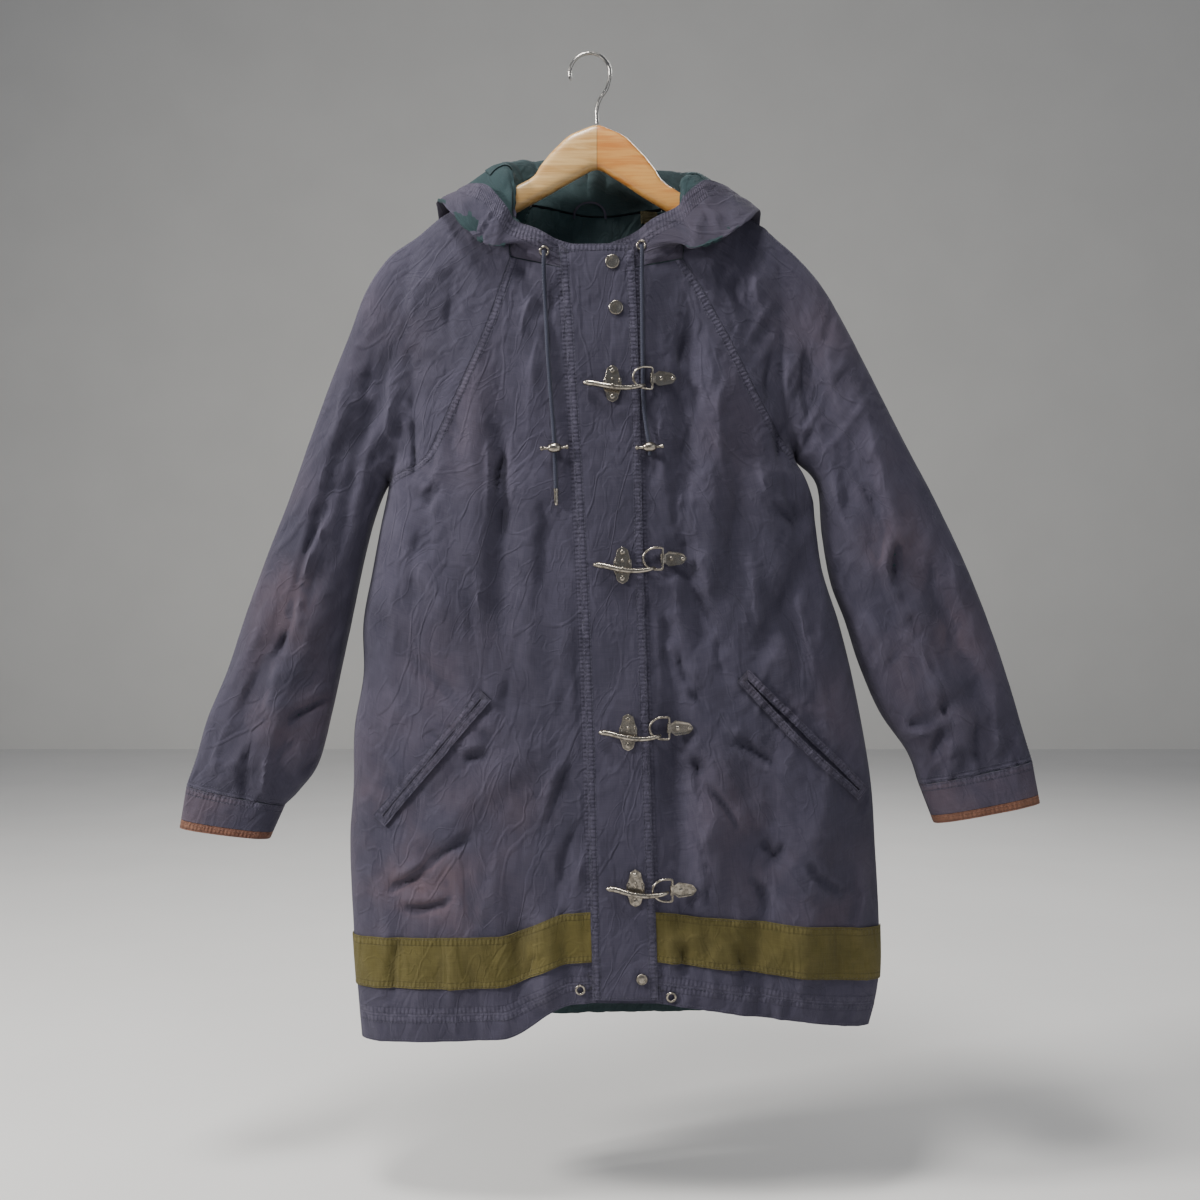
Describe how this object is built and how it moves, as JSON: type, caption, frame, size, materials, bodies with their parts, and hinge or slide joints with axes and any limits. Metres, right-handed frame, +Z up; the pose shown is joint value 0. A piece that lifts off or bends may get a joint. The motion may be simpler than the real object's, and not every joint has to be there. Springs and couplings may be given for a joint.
{
  "type": "hooded coat on a wooden hanger",
  "caption": "Hooded raglan coat in faded navy canvas with clasps, slant pockets, olive hem band and drawcords, hanging on a contoured wooden hanger.",
  "frame": {"origin": "inner top of the hanger hook's arc, where a rail or wall hook carries it", "axes": "+Z up, along the coat's length; the coat's front faces -Y; +X is the viewer's right when the front is seen"},
  "size_m": [0.977, 0.1892, 1.1159],
  "materials": {
    "cloth": "faded matt cotton canvas, navy turned purple-grey",
    "olive": "matt olive canvas",
    "lining": "dark teal-green cotton lining",
    "binding": "brown bound edge",
    "cord": "dark navy round cord",
    "metal": "antique nickel-silver, worn satin",
    "hook_steel": "bright nickel-plated wire",
    "wood": "varnished honey-coloured wood"
  },
  "bodies": {
    "root": {"back": "cloth", "band_back": "olive", "band_left": "olive", "band_right": "olive", "binding_left_back": "binding", "binding_left_front": "binding", "binding_right_back": "binding", "binding_right_front": "binding", "clasp_1_base": "metal", "clasp_1_lever": "metal", "clasp_1_plate": "metal", "clasp_1_ring": "metal", "clasp_2_base": "metal", "clasp_2_lever": "metal", "clasp_2_plate": "metal", "clasp_2_ring": "metal", "clasp_3_base": "metal", "clasp_3_lever": "metal", "clasp_3_plate": "metal", "clasp_3_ring": "metal", "clasp_4_base": "metal", "clasp_4_lever": "metal", "clasp_4_plate": "metal", "clasp_4_ring": "metal", "cord_end_left": "metal", "cuff_left_back": "cloth", "cuff_left_front": "cloth", "cuff_right_back": "cloth", "cuff_right_front": "cloth", "drawcord_left_lower": "cord", "drawcord_left_upper": "cord", "drawcord_right": "cord", "eyelet_hem_left": "metal", "eyelet_hem_right": "metal", "eyelet_hood_left": "metal", "eyelet_hood_right": "metal", "front_left": "cloth", "front_right": "cloth", "hanger_hook": "hook_steel", "hanger_wood": "wood", "hanging_loop": "cord", "hem_lining": "lining", "hood_centre": "cloth", "hood_left": "cloth", "hood_lining": "lining", "hood_right": "cloth", "neck_facing": "lining", "placket": "cloth", "sleeve_left_back": "cloth", "sleeve_left_front": "cloth", "sleeve_right_back": "cloth", "sleeve_right_front": "cloth", "snap_1": "metal", "snap_2": "metal", "snap_3": "metal", "tab": "olive", "toggle_left": "metal", "toggle_right": "metal", "welt_left": "cloth", "welt_right": "cloth"}
  },
  "joints": []
}
